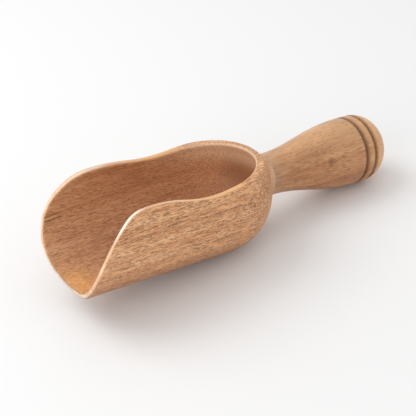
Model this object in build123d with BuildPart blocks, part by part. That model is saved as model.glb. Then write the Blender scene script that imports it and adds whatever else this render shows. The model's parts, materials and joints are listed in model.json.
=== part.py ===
from build123d import *
from math import asin, atan2, cos, degrees, hypot, radians, sin, sqrt
import os

# A turned wooden scoop, in millimetres: an open bowl with a spigot behind it, and a handle whose
# bored neck is glued on that spigot. Both are turned round one axis. At rest the scoop leans on
# the belly of the bowl and on the butt of the handle, so the axis falls towards the handle.
# The origin is on the floor, under the middle of the scoop's length, with +X to the handle.

# Bowl, along the turning axis from the lip
barrel_length = 63.4         # lip to where the shoulder begins
barrel_radius = 25.0         # outside, where the shoulder begins
mouth_draw = 0.7             # the barrel narrows by this much, on the radius, towards the lip
lip_wall = 2.3               # thickness of the wood at the lip
lip_radius = 16.0            # round of the lip below its foremost point, seen from the side
shoulder_radius = 23.5       # round of the bowl's back, seen from the side
cavity_lead = 2.5            # the cavity starts to close this far ahead of the shoulder
back_wall = 4.2              # wood between the deepest point of the cavity and the glue face
rim_round = 0.85             # rounding of both edges of the cut rim

# Side outline of the mouth above the lip, a chain of arcs that run smoothly into each other: it
# stands upright at its foremost point, leans back to a round corner, and runs in a low wave to the
# back of the bowl. These are the arcs' ends, as shares of barrel_length and barrel_radius.
rim_length_shares = (0.0, 0.217, 0.325, 0.611, 0.905, 1.554)
rim_height_shares = (-0.66, 0.404, 0.504, 0.458, 0.423, 0.622)

# Neck, where the two pieces meet
neck_radius = 8.8            # outside, at the glue face
neck_slope = 4.0             # degrees that the neck still narrows by, at the glue face
cove_radius = 6.0            # hollow round between the shoulder and the neck
spigot_radius = 5.0
spigot_length = 13.0
spigot_chamfer = 0.8
glue_gap = 0.05              # room for glue round the spigot, on the radius
bore_spare = 1.0             # the bore is this much deeper than the spigot is long

# Handle, from the glue face to the butt
grip_length = 44.9           # glue face to the first groove
hip_share = 0.52             # how far along the grip its hollow turns into its swell
hip_radius = 11.8
swell_radius = 14.4          # the thickest round, which the two grooves cut
groove_spacing = 4.95
groove_width = 1.6
groove_depth = 0.9
groove_round = 0.35          # the grooves' lips and floors are this soft
butt_length = 11.75          # second groove to the rounded end

overrun = 5.0                # how far a cutting shape reaches past the wood

# Places along and off the axis that follow from those sizes
mouth_radius = barrel_radius - mouth_draw
taper = atan2(mouth_draw, barrel_length)
slope = radians(neck_slope)
shoulder_x = barrel_length + shoulder_radius * sin(taper)
shoulder_y = barrel_radius - shoulder_radius * cos(taper)
cove_y = neck_radius + cove_radius * cos(slope)
cove_reach = shoulder_radius + cove_radius
cove_x = shoulder_x + sqrt(cove_reach ** 2 - (cove_y - shoulder_y) ** 2)
joint_x = cove_x - cove_radius * sin(slope)
groove_x = joint_x + grip_length
butt_x = groove_x + groove_spacing
end_x = butt_x + butt_length
cavity_radius = mouth_radius - lip_wall
cavity_x = barrel_length - cavity_lead
cavity_end_x = joint_x - back_wall
rim_points = [
    (length * barrel_length, height * barrel_radius)
    for length, height in zip(rim_length_shares, rim_height_shares)
]
lip_y = rim_points[0][1]


def butt_reach(angle):
    """Reach of the oval butt from its centre, square to a floor at this angle to the axis."""
    return hypot(butt_length * sin(angle), swell_radius * cos(angle))


# Angle of rest: the floor touches the shoulder's round and the oval butt at once
rest = 0.0
for _ in range(30):
    drop = shoulder_radius + shoulder_y * cos(rest) - butt_reach(rest)
    rest = asin(drop / (butt_x - shoulder_x))
floor_drop = shoulder_x * sin(rest) + shoulder_y * cos(rest) + shoulder_radius
front_x = lip_radius * cos(rest) + lip_y * sin(rest) - lip_radius
back_x = butt_x * cos(rest) + hypot(butt_length * cos(rest), swell_radius * sin(rest))

# The turning axis is this plane's x axis, and its y axis points up and square to it
lathe = Plane(
    origin=(-(front_x + back_x) / 2, 0, floor_drop),
    x_dir=(cos(rest), 0, -sin(rest)),
    z_dir=(0, -1, 0),
)
turning_axis = Axis(lathe.origin, lathe.x_dir)

# The bowl's outline is drawn on the same plane seen from behind, with y pointing down, so that the
# seam of its turned faces lies underneath, clear of the cut of the mouth
under = Plane(lathe.origin, x_dir=lathe.x_dir, z_dir=-lathe.z_dir)
print(f"rests at {degrees(rest):.2f} degrees, {end_x:.1f} long, glue face at {joint_x:.2f}")

# Bowl: a barrel, shoulder, cove and spigot outside, and a cavity with an oval end inside. It is
# turned longer than the lip, and the mouth's outline then cuts it to shape.
blank_radius = mouth_radius - overrun * sin(taper) / cos(taper)
cove_start = (
    shoulder_x + shoulder_radius * (cove_x - shoulder_x) / cove_reach,
    shoulder_y + shoulder_radius * (cove_y - shoulder_y) / cove_reach,
)
spigot_end_x = joint_x + spigot_length

with BuildPart() as bowl:
    with BuildSketch(under):
        with BuildLine():
            Polyline(
                (cavity_x, cavity_radius),
                (-overrun, cavity_radius),
                (-overrun, blank_radius),
                (barrel_length, barrel_radius),
            )
            shoulder = TangentArc(
                (barrel_length, barrel_radius),
                cove_start,
                tangent=(cos(taper), sin(taper)),
            )
            TangentArc(shoulder @ 1, (joint_x, neck_radius), tangent=shoulder % 1)
            Polyline(
                (joint_x, neck_radius),
                (joint_x, spigot_radius),
                (spigot_end_x - spigot_chamfer, spigot_radius),
                (spigot_end_x, spigot_radius - spigot_chamfer),
                (spigot_end_x, 0),
                (cavity_end_x, 0),
            )
            EllipticalCenterArc(
                (cavity_x, 0), cavity_end_x - cavity_x, cavity_radius, 0, arc_size=90
            )
        make_face()
    revolve(axis=turning_axis)

    # Everything in front of and above the mouth's outline is cut away, square to its side
    clear = barrel_radius + overrun
    lip_x = lip_radius - sqrt(lip_radius ** 2 - (mouth_radius + lip_y) ** 2)
    with BuildSketch(lathe.offset(-clear)):
        with BuildLine():
            lip = TangentArc(rim_points[0], (lip_x, -mouth_radius), tangent=(0, -1))
            way_out = lip @ 1 + lip % 1 * overrun
            rim = TangentArc(rim_points[0], rim_points[1], tangent=(0, 1))
            for point in rim_points[2:]:
                rim = TangentArc(rim @ 1, point, tangent=rim % 1)
            Polyline(
                rim @ 1,
                (rim_points[-1][0], clear),
                (-2 * overrun, clear),
                (-2 * overrun, way_out.Y),
                way_out,
                lip @ 1,
            )
        make_face()
    extrude(amount=2 * clear, mode=Mode.SUBTRACT)
    fillet(bowl.edges(Select.NEW).filter_by(Axis.Y, reverse=True), radius=rim_round)

# Handle: a bored neck, a long hip and swell, two burnt grooves with a bead between them, and a
# rounded butt
bore_radius = spigot_radius + glue_gap
bore_end_x = spigot_end_x + bore_spare
hip_x = joint_x + hip_share * grip_length

with BuildPart() as handle:
    with BuildSketch(lathe) as turned:
        with BuildLine():
            Polyline(
                (end_x, 0),
                (bore_end_x, 0),
                (bore_end_x, bore_radius),
                (joint_x, bore_radius),
                (joint_x, neck_radius),
            )
            Spline(
                (joint_x, neck_radius),
                (hip_x, hip_radius),
                (groove_x, swell_radius),
                tangents=[(cos(slope), -sin(slope)), (1, 0)],
            )
            Line((groove_x, swell_radius), (butt_x, swell_radius))
            EllipticalCenterArc((butt_x, 0), butt_length, swell_radius, 0, arc_size=90)
        make_face()
        for centre in (groove_x, butt_x):
            with BuildLine():
                Polyline(
                    (centre, swell_radius - groove_depth),
                    (centre + groove_width, swell_radius + groove_depth),
                    (centre - groove_width, swell_radius + groove_depth),
                    close=True,
                )
            make_face(mode=Mode.SUBTRACT)
        near = (groove_x - groove_width, butt_x + groove_width)
        corners = turned.vertices().filter_by_position(Axis.X, *near)
        fillet(corners.filter_by(lambda corner: corner.Y > neck_radius), groove_round)
    revolve(axis=turning_axis)

bowl.part.label = "bowl"
handle.part.label = "handle"
os.makedirs("parts", exist_ok=True)
export_step(bowl.part, "parts/bowl.step")
export_step(handle.part, "parts/handle.step")
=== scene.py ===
# %% [markdown]
# A turned wooden scoop, dressed for a picture. The two solid pieces, the bowl and the handle, come
# ready made and in place. What is left to do in Blender is what a photographer and a finisher do:
# choose the view, give each piece its wood, and hang soft lights over a pale table.

# %% Load the two pieces
import json
import math

import bpy
from mathutils import Matrix, Vector

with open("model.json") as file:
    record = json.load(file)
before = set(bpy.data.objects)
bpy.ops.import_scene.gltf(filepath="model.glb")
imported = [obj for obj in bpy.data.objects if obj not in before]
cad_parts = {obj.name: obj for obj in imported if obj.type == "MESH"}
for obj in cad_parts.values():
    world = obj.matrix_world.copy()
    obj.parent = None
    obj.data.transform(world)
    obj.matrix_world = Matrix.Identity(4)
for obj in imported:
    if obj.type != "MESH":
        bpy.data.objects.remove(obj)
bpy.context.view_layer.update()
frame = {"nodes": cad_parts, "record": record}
bowl = frame["nodes"]["bowl"]
handle = frame["nodes"]["handle"]

# %% [markdown]
# Wood is judged by its grain, and on a turned piece the grain runs along the axis of the lathe. The
# scoop leans on its belly and its butt, so that axis isn't level. The record knows it, because a
# clip could hold the scoop by the bead at the end of the handle: the bead's centre is a point on
# the axis, and its direction is the axis. Places in the wood are in millimetres from that point.

# %% Find the turning axis
MM = 0.001
bead = next(m for m in frame["record"]["mounts"] if m["name"] == "handle_bead")
bead_centre = Vector(bead["pos_m"])
axis = Vector(bead["axis"]).normalized()
lean = math.atan2(-axis.z, axis.x)


def along(point):
    """Millimetres from the bead's centre along the axis, towards the butt."""
    return (Vector(point) - bead_centre).dot(axis) / MM


glue_face = min(along(v.co) for v in handle.data.vertices)
butt_end = max(along(v.co) for v in handle.data.vertices)
lip_end = min(along(v.co) for v in bowl.data.vertices)
print(f"leans {math.degrees(lean):.2f} degrees; lip {lip_end:.1f}, glue face {glue_face:.1f}, "
      f"butt {butt_end:.1f} mm from the bead")

# %% [markdown]
# The view comes before the finish, because it decides what is seen. The picture was taken from in
# front of the lip and above it, with a long lens and the camera tipped a little to one side. A long
# lens from far away keeps a small object from looking like a big one.

# %% Place the camera
view_target = Vector((-14.51, -3.34, 20.39)) * MM
view_distance = 373.66 * MM
view_azimuth = math.radians(-31.64)
view_height = math.radians(31.34)
view_tip = math.radians(7.13)
view_lens = 83.14

backwards = Vector((
    math.sin(view_azimuth) * math.cos(view_height),
    -math.cos(view_azimuth) * math.cos(view_height),
    math.sin(view_height),
))
camera = bpy.data.objects.new("camera", bpy.data.cameras.new("camera"))
camera.data.lens = view_lens
camera.data.sensor_width = 36
camera.data.clip_start = 10 * MM
level = backwards.to_track_quat("Z", "Y").to_matrix().to_4x4()
camera.matrix_world = (
    Matrix.Translation(view_target + backwards * view_distance)
    @ level
    @ Matrix.Rotation(-view_tip, 4, "Z")
)
bpy.context.scene.collection.objects.link(camera)
bpy.context.scene.camera = camera
print("camera at", camera.matrix_world.translation)

# %% [markdown]
# Every finish below is a small calculation on the surface: how far along the grain, how dark the
# pore, how much of it shows. Blender does such sums with Math nodes. Written as nodes they are hard
# to read, so this class lets Python's own signs build them: mask * 0.5 adds a Multiply node.

# %% Write shader sums as Python sums
class Wire:
    """The output of a node. Sums on it add Math nodes, and node() adds any other node."""

    def __init__(self, tree, socket=None):
        self.tree = tree
        self.socket = socket

    def node(self, kind, settings, sockets, output=0):
        """Adds a node with these settings and socket values or links; returns one output."""
        made = self.tree.nodes.new(kind)
        for name, value in settings.items():
            if name == "stops":
                set_stops(made.color_ramp, value)
            else:
                setattr(made, name, value)
        for key, value in sockets.items():
            if isinstance(value, Wire):
                self.tree.links.new(value.socket, made.inputs[key])
            else:
                made.inputs[key].default_value = value
        return Wire(self.tree, made.outputs[output] if made.outputs else None)

    def calculate(self, operation, first, second):
        """Adds a Math node on two values, at least one of them on a wire."""
        return self.node("ShaderNodeMath", {"operation": operation}, {0: first, 1: second})

    def __add__(self, other):
        return self.calculate("ADD", self, other)

    def __radd__(self, other):
        return self.calculate("ADD", other, self)

    def __sub__(self, other):
        return self.calculate("SUBTRACT", self, other)

    def __rsub__(self, other):
        return self.calculate("SUBTRACT", other, self)

    def __mul__(self, other):
        return self.calculate("MULTIPLY", self, other)

    def __rmul__(self, other):
        return self.calculate("MULTIPLY", other, self)

    def __abs__(self):
        return self.node("ShaderNodeMath", {"operation": "ABSOLUTE"}, {0: self})


def set_stops(ramp, stops):
    """Gives a colour ramp these (place, colour) stops."""
    while len(ramp.elements) < len(stops):
        ramp.elements.new(1)
    for element, (place, colour) in zip(ramp.elements, stops):
        element.position = place
        element.color = (*colour, 1)


print("sums on a wire:", [name for name in vars(Wire) if name.startswith("__")])

# %% [markdown]
# Three words do most of the work in a finish. A step is a soft threshold, such as where a pore
# begins or where a stain ends: its mask is 0 at the first of two values, 1 at the second, and a
# soft slope between. Larger keeps the stronger of two masks, so that two pores that meet don't go
# twice as dark. Stained lays one colour over another where a mask says so, as a brush does.

# %% Fade and stain
def step(value, start, full):
    """A mask that is 0 at the start and 1 where it is full, with a soft slope between."""
    if full < start:
        return 1 - step(value, full, start)
    settings = {"interpolation_type": "SMOOTHSTEP"}
    sockets = {"Value": value, "From Min": start, "From Max": full}
    return value.node("ShaderNodeMapRange", settings, sockets)


def larger(first, second):
    """The stronger of two masks."""
    return first.calculate("MAXIMUM", first, second)


def paint(red, green, blue):
    """A colour as a socket takes it."""
    return (red, green, blue, 1.0)


def stained(base, colour, mask):
    """The base colour with another laid over it where the mask is 1."""
    sockets = {0: mask, 6: base, 7: colour}
    return mask.node("ShaderNodeMix", {"data_type": "RGBA", "clamp_factor": True}, sockets, output=2)


print("a colour for a socket:", paint(0.5, 0.25, 0.1))

# %% [markdown]
# A place and a direction are three numbers at once. They go through Vector Math nodes and are taken
# apart where one of the three is needed.

# %% Measure in the wood
def on_vector(operation, first, second, output="Vector"):
    """A Vector Math node on these two, the first of them on a wire."""
    settings = {"operation": operation}
    return first.node("ShaderNodeVectorMath", settings, {0: first, 1: second}, output=output)


def parts_of(vector):
    """A vector's three numbers, each on a wire."""
    return [vector.node("ShaderNodeSeparateXYZ", {}, {"Vector": vector}, output=i) for i in range(3)]


def reach(across, up):
    """How far a point is from the middle, from its two distances square to each other."""
    squares = across * across + up * up
    return squares.node("ShaderNodeMath", {"operation": "SQRT"}, {0: squares})


def in_wood(tree, stretch=1.0, shift=(0.0, 0.0, 0.0)):
    """A place in millimetres from the bead's centre: X along the grain, shortened by the stretch."""
    wire = Wire(tree)
    seen_at = wire.node("ShaderNodeTexCoord", {}, {}, output="Object")
    turned = {
        "Vector": seen_at,
        "Location": bead_centre,
        "Rotation": (0, lean, 0),
        "Scale": (MM, MM, MM),
    }
    local = wire.node("ShaderNodeMapping", {"vector_type": "TEXTURE"}, turned)
    drawn_out = {"Vector": local, "Location": shift, "Scale": (1 / stretch, 1, 1)}
    return wire.node("ShaderNodeMapping", {"vector_type": "POINT"}, drawn_out)


def noise(place, scale, detail=2.0, roughness=0.5):
    """Soft noise from 0 to 1; scale is how many lumps there are in a millimetre."""
    sockets = {"Vector": place, "Scale": scale, "Detail": detail, "Roughness": roughness}
    return place.node("ShaderNodeTexNoise", {"noise_dimensions": "3D"}, sockets)


print("a place in the wood is turned by", round(lean, 3), "radians and counted in millimetres")

# %% [markdown]
# This is an open-pored, orange-brown hardwood. Four things make its look. Its year rings cross the
# piece as broad soft bands. Its fibres are fine pale and dark lines. Its pores are tubes: where a
# tube comes to the surface at a slant, it shows as a short dark dash, and at the end of the board
# it is a dot. And between the pores, sanded fibre ends catch the light as pale specks.
#
# The rings are drawn round a pith that lies outside the piece, as in a board, so that the figure
# bends where the surface does. Every cell in wood is a long tube, so all the unevenness is drawn
# out along the grain. A picture of wood could be wrapped round the scoop, but it would show a seam,
# and the hollow would not match the outside. Wood that is worked out in space fits every cut.

# %% Grow the wood
ring_wander = 9.0            # how far a ring strays from a true circle
ring_lumps = 0.05            # how many times it strays in a millimetre
ring_share, cloud_share = 0.6, 0.6
tone_ends = (0.35, 0.85)
dark_fibres = (0.52, 0.32)   # fibre noise this low is a dark line
pale_fibres = (0.50, 0.70)   # and this high a pale one
crowd_by_cloud = 0.45        # how much the pores' size follows the clouds
crowd_by_ring = 0.25         # and how much the rings
relief_strength = 0.5
oil_shine = 0.3
seed_steps = (37.0, 11.0, 23.0)
seed_years = 17.0


class Wood:
    """One piece's wood: its rings, fibres and pores as masks, and the shader that they end in."""

    def __init__(self, name, pith, ring_width, seed):
        self.material = bpy.data.materials.new(name)
        self.material.use_nodes = True
        self.tree = self.material.node_tree
        self.shader = self.tree.nodes["Principled BSDF"]
        self.shift = [seed * way for way in seed_steps]
        self.place = in_wood(self.tree)
        _, aside, above = parts_of(self.place)
        wander = self.grain(stretch=6, scale=ring_lumps) * ring_wander
        age = reach(aside - pith[0], above - pith[1]) + wander
        years = {"W": age + seed * seed_years, "Scale": 1 / ring_width, "Detail": 2.0}
        self.ring = age.node("ShaderNodeTexNoise", {"noise_dimensions": "1D"}, years)
        self.cloud = self.grain(stretch=3, scale=0.09)
        self.fibre = self.grain(stretch=20, scale=2.4, detail=3, roughness=0.6)

    def grain(self, stretch, scale, detail=2.0, roughness=0.5):
        """Noise in this piece, drawn out along the grain by the stretch."""
        return noise(in_wood(self.tree, stretch, self.shift), scale, detail, roughness)

    def pores(self, stretch, scale, size):
        """Dark dashes, one to a cell; the size is a share of the cell, and it varies."""
        clouds = (self.grain(stretch=3, scale=0.35) - 0.5) * crowd_by_cloud
        crowd = clouds + (self.ring - 0.5) * crowd_by_ring
        cells = {"Vector": in_wood(self.tree, stretch, self.shift), "Scale": scale}
        settings = {"voronoi_dimensions": "3D", "feature": "F1"}
        to_middle = crowd.node("ShaderNodeTexVoronoi", settings, cells, output="Distance")
        return step(to_middle - crowd * size, size, size / 2)

    def ground(self, dark, middle, pale, figured, lined):
        """The colour under the pores: rings and clouds, and over them the fine lines of fibre."""
        tone = step(self.ring * ring_share + self.cloud * cloud_share, *tone_ends)
        stops = [(0.0, dark), (0.5, middle), (1.0, pale)]
        spread = {"Fac": tone * figured + (1 - figured) / 2}
        colour = tone.node("ShaderNodeValToRGB", {"stops": stops}, spread)
        colour = stained(colour, paint(*dark), step(self.fibre, *dark_fibres) * lined)
        return stained(colour, paint(*pale), step(self.fibre, *pale_fibres) * lined)

    def finish(self, piece, colour, height, roughness, depth):
        """Joins colour, roughness and relief to the shader, and gives the piece this wood."""
        relief = {"Strength": relief_strength, "Distance": depth * MM, "Height": height}
        bump = height.node("ShaderNodeBump", {}, relief)
        self.tree.links.new(colour.socket, self.shader.inputs["Base Color"])
        self.tree.links.new(roughness.socket, self.shader.inputs["Roughness"])
        self.tree.links.new(bump.socket, self.shader.inputs["Normal"])
        self.shader.inputs["Specular IOR Level"].default_value = oil_shine
        piece.data.materials.clear()
        piece.data.materials.append(self.material)
        print(f"{piece.name} has {self.material.name}, {len(self.tree.nodes)} nodes")


bowl_wood = Wood("oiled_bowl_wood", pith=(18.0, -70.0), ring_width=4.0, seed=1)
handle_wood = Wood("oiled_handle_wood", pith=(-30.0, -55.0), ring_width=5.0, seed=5)
print("woods:", bowl_wood.material.name, handle_wood.material.name)

# %% [markdown]
# Oil sits in the hollow of the bowl, so the inside is redder and quieter than the outside, where
# the pores stand out. Which side of the wall a point is on follows from the way that the surface
# faces: outside, it faces away from the middle of the bowl. The floor at the back of the hollow
# faces along the grain, so there the fibres are cut across, and the wood is end grain.

# %% Tell the bowl's inside from its outside
bowl_middle = ((lip_end + glue_face) / 2, 0.0, 0.0)
inside_edge = (2.0, -4.0)
end_grain_edge = (-0.6, -0.95)

lengthwise, sideways, upwards = parts_of(bowl_wood.place)
normal = bowl_wood.place.node("ShaderNodeNewGeometry", {}, {}, output="Normal")
turned_back = {"Vector": normal, "Rotation": (0, lean, 0)}
facing = normal.node("ShaderNodeMapping", {"vector_type": "TEXTURE"}, turned_back)
outward = on_vector("SUBTRACT", bowl_wood.place, bowl_middle)
inside = step(on_vector("DOT_PRODUCT", outward, facing, "Value"), *inside_edge)
outside = 1 - inside
end_grain = step(parts_of(facing)[0], *end_grain_edge) * inside
print("the bowl's middle is", round(bowl_middle[0], 1), "mm from the bead")

# %% [markdown]
# The rim is sanded smooth and has no open pores. It is pale at the lip, partly from wear and partly
# a painted highlight, light caught by the rounded edge, and orange at the back of the mouth, where
# oil has stayed. It lies between the two walls, so it is where the distance from the axis is
# neither that of the outside nor that of the inside.
# These radii and the barrel's length are the bowl's own.

# %% Tell the rim from the walls
mouth_radius = 24.3
barrel_radius = 25.0
hollow_radius = 22.0
barrel_length = 63.4
rim_edge = 0.4               # how softly the rim begins at the outside
rim_inset = 0.3              # and how much narrower it is at the lip

shoulder_start = lip_end + barrel_length
hollow_edge = (hollow_radius + 0.2, hollow_radius + 0.7)
rim_ends_at = (shoulder_start + 2.0, shoulder_start - 2.0)
lip_reaches = (lip_end + 50.0, lip_end + 25.0)

from_axis = reach(sideways, upwards)
widening = (barrel_radius - mouth_radius) / barrel_length
under_skin = mouth_radius + (lengthwise - lip_end) * widening - from_axis
at_lip = step(lengthwise, *lip_reaches)
rim = step(under_skin - at_lip * rim_inset, 0.0, rim_edge)
rim = rim * step(from_axis, *hollow_edge) * step(lengthwise, *rim_ends_at)
print("the wall is", round(mouth_radius - hollow_radius, 1), "mm thick at the lip")

# %% [markdown]
# Some places are painted lighter or darker than plain wood. Near the back rim the hollow is painted
# pale: painted light, with the fibres showing through it. Inside, at the bottom of the lip, a warm
# stripe is a painted glow of bounced light. The belly is painted darker: painted shade, low on the
# outside. The hollow round between the shoulder and the neck, the cove, is painted a little grey: a
# painted sheen. Each place is a product of steps along, up or across.

# %% Mark the places for painted light and shade
lit_back_lengths = (lip_end + 45.0, lip_end + 72.0)
lit_back_heights = (1.0, 9.0)
glow_lengths = (lip_end + 18.0, lip_end + 4.0)
glow_heights = (-14.0, -21.0)
glow_sides = (13.0, 1.0)
low_shade_heights = (-9.0, -21.0)
cove_lengths = (glue_face - 10.0, glue_face - 3.0)

# painted light: the upper back of the hollow is painted pale, textured by the fibres
lit_back = step(lengthwise, *lit_back_lengths) * step(upwards, *lit_back_heights) * inside
lit_back = lit_back * (bowl_wood.fibre * 1.2 + 0.1)
# painted glow: warm bounced light inside, at the bottom of the lip
glow = step(lengthwise, *glow_lengths) * step(upwards, *glow_heights)
glow = glow * step(sideways, *glow_sides) * inside
# painted shade: the outside is painted darker low down
low_shade = step(upwards, *low_shade_heights) * outside
# painted sheen: the cove is painted grey
cove = step(lengthwise, *cove_lengths) * outside
print("the warm stripe fades out", round(glow_lengths[0] - lip_end, 1), "mm behind the lip")

# %% [markdown]
# The ground colours go on first, one set outside and one inside, each with a dark, a middle and a
# pale tone for the figure to choose from. Then come the stains and the painted light and shade. The
# floor at the back of the hollow, where the grain is cut across, takes the darkest: end grain drinks
# oil, and the deep back of the hollow gets painted shade as well.

# %% Stain the bowl and paint its light and shade
outer_dark, outer_middle, outer_pale = (0.42, 0.178, 0.076), (0.70, 0.338, 0.150), (0.86, 0.50, 0.27)
inner_dark, inner_middle, inner_pale = (0.37, 0.152, 0.068), (0.59, 0.287, 0.138), (0.71, 0.405, 0.225)
end_grain_and_painted_shade = paint(0.26, 0.105, 0.052)
# the pale colour below is painted light for the upper back of the hollow
painted_light_pale = paint(0.84, 0.60, 0.39)
# the warm orange below is a painted glow of bounced light
painted_glow = paint(0.88, 0.43, 0.14)
# the dark colour below is painted shade for the low outside
painted_shade_low = paint(0.40, 0.180, 0.085)

outer_ground = bowl_wood.ground(outer_dark, outer_middle, outer_pale, figured=0.6, lined=0.85)
inner_ground = bowl_wood.ground(inner_dark, inner_middle, inner_pale, figured=0.5, lined=0.6)
bowl_colour = stained(outer_ground, inner_ground, inside)
# end grain and painted shade: the back of the hollow is painted darkest
bowl_colour = stained(bowl_colour, end_grain_and_painted_shade, end_grain * 0.65)
bowl_colour = stained(bowl_colour, painted_light_pale, lit_back)
bowl_colour = stained(bowl_colour, painted_glow, glow * 0.6)
bowl_colour = stained(bowl_colour, painted_shade_low, low_shade * 0.8)
print("the bowl is stained, with", len(bowl_wood.tree.nodes), "nodes so far")

# %% [markdown]
# Pores come in two sizes, and a few run together into long dark streaks. A noise cut off at a
# threshold does for the streaks, but it gives torn patches where single pores are wanted. So the
# dashes come from a Voronoi texture, which has one point in each cell to draw a dash round. Inside,
# oil has filled the pores, so they are weaker, except for some streaks low at the back. On the rim,
# the cove and the end grain they are weaker too.

# %% Open the pores of the bowl
pore_colour = paint(0.12, 0.046, 0.026)
fine_cells = 3.0             # pores in a millimetre across the grain
long_cells = 1.8
streak_edge = (0.58, 0.68)
low_back_lengths = (lip_end + 50.0, lip_end + 64.0)
low_back_heights = (6.0, 0.0)

fine_pores = bowl_wood.pores(stretch=7.0, scale=fine_cells, size=0.48) * 0.75
long_pores = bowl_wood.pores(stretch=8.0, scale=long_cells, size=0.32) * 0.85
low_back = step(lengthwise, *low_back_lengths) * step(upwards, *low_back_heights)
streaks = step(bowl_wood.grain(stretch=16, scale=1.3), *streak_edge) * 0.6
streaks = streaks * (1 - inside * (1 - low_back))
bowl_pores = larger(larger(fine_pores, streaks), long_pores) * (0.8 - inside * 0.2)
bowl_pores = bowl_pores * (1 - rim * 0.9) * (1 - cove * 0.6) * (1 - end_grain * 0.6)
bowl_colour = stained(bowl_colour, pore_colour, bowl_pores)
print(f"pores lie {1 / fine_cells:.2f} and {1 / long_cells:.2f} mm apart")

# %% [markdown]
# The pale specks are painted glints: light caught by the fibres that stand highest, so they lie over
# the pores. They are thickest near the shoulder, where the tool has cut across the grain, and fewer
# inside and low on the belly. The grey of the cove is a painted sheen, and it lies over everything.

# %% Paint glints on the raised fibres
glint_colour = paint(0.84, 0.60, 0.40)
# the grey below is a painted sheen, for the cove and beside the glue line
painted_sheen_grey = paint(0.58, 0.41, 0.28)
glint_edge = (0.58, 0.70)
shoulder_lengths = (lip_end + 55.0, lip_end + 75.0)

near_shoulder = step(lengthwise, *shoulder_lengths) * outside
# the pale specks are painted glints of light
glint_strength = 0.55 - inside * 0.45 + near_shoulder * 0.3 - low_shade * 0.3
glints = step(bowl_wood.grain(stretch=2.2, scale=2.6, detail=1), *glint_edge) * glint_strength
bowl_colour = stained(bowl_colour, glint_colour, glints)
bowl_colour = stained(bowl_colour, painted_sheen_grey, cove * 0.35)
print("specks grow thicker from", round(shoulder_lengths[0] - lip_end, 1), "mm behind the lip")

# %% [markdown]
# The rim's colour goes over the pores, because the rim was cut and rounded after the bowl was
# turned. Its pale part is partly wear and partly a painted highlight. One corner of the mouth, on the
# viewer's side, carries a painted highlight: a near-white glint along the edge.

# %% Paint the rim's wear and highlights
worn_and_highlit_rim = paint(0.93, 0.75, 0.55)
oiled_rim = paint(0.80, 0.43, 0.18)
painted_corner_glint = paint(1.0, 0.91, 0.82)
oiled_lengths = (lip_end + 18.0, lip_end + 50.0)
rim_patch_edge = (0.42, 0.58)
corner_place = lip_end + 15.0
corner_reach = (8.0, 3.0)
corner_sides = (-8.0, -16.0)
corner_heights = (-4.0, 6.0)

# the pale rim is partly wear and partly a painted highlight
rim_colour = stained(worn_and_highlit_rim, oiled_rim, step(lengthwise, *oiled_lengths))
rim_patches = step(bowl_wood.grain(stretch=2, scale=0.12), *rim_patch_edge)
bowl_colour = stained(bowl_colour, rim_colour, rim * (rim_patches * 0.35 + 0.55 - at_lip * 0.25))
# painted highlight: a near-white glint on the near corner of the mouth
corner = step(abs(lengthwise - corner_place), *corner_reach) * step(sideways, *corner_sides)
corner = corner * step(upwards, *corner_heights) * rim
bowl_colour = stained(bowl_colour, painted_corner_glint, corner * 0.6)
print("the bare corner is", round(corner_place - lip_end, 1), "mm behind the lip")

# %% [markdown]
# Near the lip, two short drying cracks run along the grain on the inside of the far wall. Each is a
# thin dark line at one height that climbs a little, with ragged ends. They are small, but the eye
# finds them at once. They are too fine to be worth modelling, so they are colour and relief.

# %% Crack the far wall near the lip
crack_colour = paint(0.07, 0.028, 0.016)
crack_heights = (-3.5, -5.0)
crack_ends = (lip_end + 2.2, lip_end + 11.0)
crack_width = 0.3
crack_rise = 0.075           # millimetres up for each one along
far_side = (0.0, 5.0)

ragged = (bowl_wood.grain(stretch=6, scale=0.5) - 0.5) * 2.4
lines = []
for height in crack_heights:
    climbing = height + (lengthwise - crack_ends[0]) * crack_rise
    off_line = abs(upwards - climbing - ragged * 0.3)
    lines.append(step(off_line, crack_width, crack_width * 0.3))
cracks = sum(lines) * step(lengthwise + ragged * 2.0, crack_ends[1], crack_ends[1] - 3.0)
cracks = cracks * step(lengthwise, crack_ends[0] - 0.5, crack_ends[0])
cracks = cracks * step(sideways, *far_side) * inside
bowl_colour = stained(bowl_colour, crack_colour, cracks * 0.7)
print(len(lines), "cracks", round(crack_ends[1] - crack_ends[0], 1), "mm long")

# %% [markdown]
# Colour alone looks printed on. A pore is also a tiny pit, and light that grazes the wall finds it.
# So the masks are used once more: a Bump node takes them as heights and bends the shading, without
# moving the surface. The pores are duller than the oiled wood between them, and the rim is smoother.

# %% Finish the bowl
wall_roughness = 0.46

bowl_relief = bowl_wood.fibre * 0.3 - bowl_pores + glints * 0.2 - cracks
bowl_roughness = wall_roughness + bowl_pores * 0.2 - rim * 0.08
bowl_wood.finish(bowl, bowl_colour, bowl_relief, bowl_roughness, depth=0.12)

# %% [markdown]
# The handle is the same kind of wood from another board. It is gripped and polished, so its pores
# are filled and few, and what shows is a quiet, streaky figure that runs its whole length. Its
# upper side is painted paler, as painted light falling from above. Its butt is painted a lighter,
# warm orange. Next to the glue line it has the same painted grey sheen as the cove, so that the two
# pieces meet without a hard edge.

# %% Mark the places on the handle
neck_lengths = (glue_face + 7.0, glue_face)
upper_heights = (3.0, 13.0)
butt_lengths = (-2.0, 4.0)
smudge_edge = (0.54, 0.70)
figure_edge = (0.50, 0.64)
figure_heights = (14.0, 4.0)

from_bead, _, height_in_hand = parts_of(handle_wood.place)
near_neck = step(from_bead, *neck_lengths)
smudges = step(handle_wood.grain(stretch=4, scale=0.22, detail=3, roughness=0.6), *smudge_edge)
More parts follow.
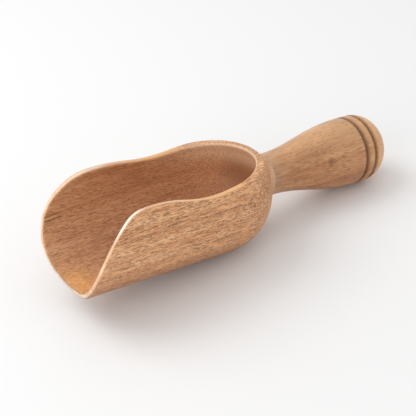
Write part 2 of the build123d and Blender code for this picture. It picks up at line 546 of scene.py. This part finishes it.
# painted light: the handle's upper side is painted paler
lit_upper_side = step(height_in_hand, *upper_heights)
butt = step(from_bead, *butt_lengths)
figure = step(handle_wood.grain(stretch=7, scale=0.3, detail=4, roughness=0.65), *figure_edge)
figure = figure * step(height_in_hand, *figure_heights)
handle_pores = handle_wood.pores(stretch=8.0, scale=1.4, size=0.32) * 0.45
print("the handle's wood runs", round(butt_end - glue_face, 1), "mm")

# %% Stain the handle
handle_dark, handle_middle, handle_pale = (0.26, 0.108, 0.044), (0.47, 0.216, 0.094), (0.62, 0.33, 0.165)
smudge_colour = paint(0.30, 0.13, 0.06)
painted_top_light = paint(0.86, 0.53, 0.28)
butt_wood = paint(0.84, 0.47, 0.22)
figure_colour = paint(0.30, 0.115, 0.050)
filled_pore = paint(0.16, 0.065, 0.035)

handle_colour = handle_wood.ground(handle_dark, handle_middle, handle_pale, figured=0.9, lined=0.55)
# painted sheen: grey next to the glue line, as on the cove
handle_colour = stained(handle_colour, painted_sheen_grey, near_neck * 0.35)
handle_colour = stained(handle_colour, smudge_colour, smudges * (1 - butt) * 0.35)
# painted light on the handle's upper side
handle_colour = stained(handle_colour, painted_top_light, lit_upper_side * 0.38)
handle_colour = stained(handle_colour, butt_wood, butt * 0.6)
handle_colour = stained(handle_colour, figure_colour, figure * 0.4)
handle_colour = stained(handle_colour, filled_pore, handle_pores)
print("the handle is stained, with", len(handle_wood.tree.nodes), "nodes so far")

# %% [markdown]
# The two rings near the butt are not paint. On the lathe a small groove is cut, and a wire held in
# it under the spinning handle burns it dark brown. The burn is darkest at the bottom of the groove
# and fades out over its lips, so it is a mask on the distance along the axis.

# %% Burn the two grooves
burnt = paint(0.12, 0.050, 0.027)
groove_spacing = 4.95
burn_reach = 1.9
burn_flicker = 0.8

uneven = (noise(handle_wood.place, scale=0.8) - 0.5) * burn_flicker
from_groove = abs(abs(from_bead) - groove_spacing / 2)
burn = step(from_groove + uneven, burn_reach, 0.0)
handle_colour = stained(handle_colour, burnt, burn * 0.8)
print("two burnt grooves,", groove_spacing, "mm apart")

# %% [markdown]
# A twig that died young leaves a pin knot. This one, on the side of the handle, is no bigger than a
# peppercorn: a dark point in a soft brown halo. Both are steps on the distance from its middle.

# %% Put in the pin knot
knot_place = (-20.8, -12.4, 3.9)
knot_halo = (2.6, 0.8)
knot_core = (0.9, 0.3)

to_knot = on_vector("DISTANCE", handle_wood.place, knot_place, "Value")
knot = step(to_knot, *knot_halo) * 0.45 + step(to_knot, *knot_core) * 0.4
handle_colour = stained(handle_colour, burnt, knot)
print("pin knot", round(-knot_place[0], 1), "mm in front of the bead")

# %% [markdown]
# Hands have polished the handle, so it is smoother than the bowl, and its relief is half as deep.
# Charred wood stays dull.

# %% Finish the handle
polished_roughness = 0.36

handle_relief = handle_wood.fibre * 0.3 - handle_pores
handle_roughness = polished_roughness + burn * 0.3
handle_wood.finish(handle, handle_colour, handle_relief, handle_roughness, depth=0.06)

# %% [markdown]
# The scoop lies on a seamless white sheet. A sheet that is far larger than the view needs no bend at
# its back, and dull paper takes a soft shadow and gives no reflection of the scoop.

# %% Lay the table
table_half = 4.0             # in metres
paper_white = 0.86

corners = [(x, y, 0) for x, y in ((-1, -1), (1, -1), (1, 1), (-1, 1))]
table = bpy.data.objects.new("table", bpy.data.meshes.new("table"))
table.data.from_pydata([Vector(corner) * table_half for corner in corners], [], [(0, 1, 2, 3)])
bpy.context.scene.collection.objects.link(table)
paper = bpy.data.materials.new("white_paper")
paper.use_nodes = True
sheet = paper.node_tree.nodes["Principled BSDF"].inputs
sheet["Base Color"].default_value = paint(paper_white, paper_white, paper_white)
sheet["Roughness"].default_value = 1.0
sheet["Specular IOR Level"].default_value = 0.0
table.data.materials.append(paper)
print("the sheet is", 2 * table_half, "m wide")

# %% [markdown]
# Most of the light comes from a white room, so that no shadow goes black. The camera and the
# reflections see its walls brighter than they shine on the scoop, so that the background is nearly
# white and the wood isn't flooded. The Light Path node tells the two kinds of ray apart.

# %% Light the room
room_light = 0.78
wall_white = 0.94

world = bpy.data.worlds.new("white_room")
bpy.context.scene.world = world
world.use_nodes = True
world.node_tree.nodes.clear()
room = Wire(world.node_tree)
seen = room.node("ShaderNodeLightPath", {}, {}, output="Is Camera Ray")
for ray in ("Is Glossy Ray", "Is Transmission Ray"):
    seen = larger(seen, room.node("ShaderNodeLightPath", {}, {}, output=ray))
walls_seen = {"Color": paint(wall_white, wall_white, wall_white), "Strength": 1.0}
light_felt = {"Color": paint(1, 1, 1), "Strength": room_light}
backdrop = room.node("ShaderNodeBackground", {}, walls_seen)
lit = room.node("ShaderNodeBackground", {}, light_felt)
mixed = room.node("ShaderNodeMixShader", {}, {0: seen, 1: lit, 2: backdrop})
room.node("ShaderNodeOutputWorld", {}, {"Surface": mixed})
bpy.context.scene.view_settings.view_transform = "Standard"
print("the room lights the scoop at", room_light, "and is seen at", wall_white)

# %% [markdown]
# The main lamp is a large soft window, high behind the scoop and towards its lip. It pales the
# rims, leaves the hollow dark, and draws a soft shadow towards the viewer's right. A weaker white
# screen stands low beyond the lip, on the viewer's side, and opens up the near wall. A lamp's size
# sets how soft its shadow is, and both are large beside the scoop.

# %% Hang the window and the screen
def soft_light(name, spot, size, power):
    """A square lamp at this spot, in metres, turned to the scoop."""
    lamp = bpy.data.objects.new(name, bpy.data.lights.new(name, "AREA"))
    lamp.data.shape = "SQUARE"
    lamp.data.size = size
    lamp.data.energy = power
    turned = Vector(spot).to_track_quat("Z", "Y").to_matrix().to_4x4()
    lamp.matrix_world = Matrix.Translation(spot) @ turned
    bpy.context.scene.collection.objects.link(lamp)
    print(f"{name}: {power} W, {Vector(spot).length:.2f} m away")


soft_light("window", spot=(-0.36, 0.45, 0.75), size=0.7, power=3.5)
soft_light("screen", spot=(-0.80, -0.35, 0.36), size=0.5, power=1.7)

# %% [markdown]
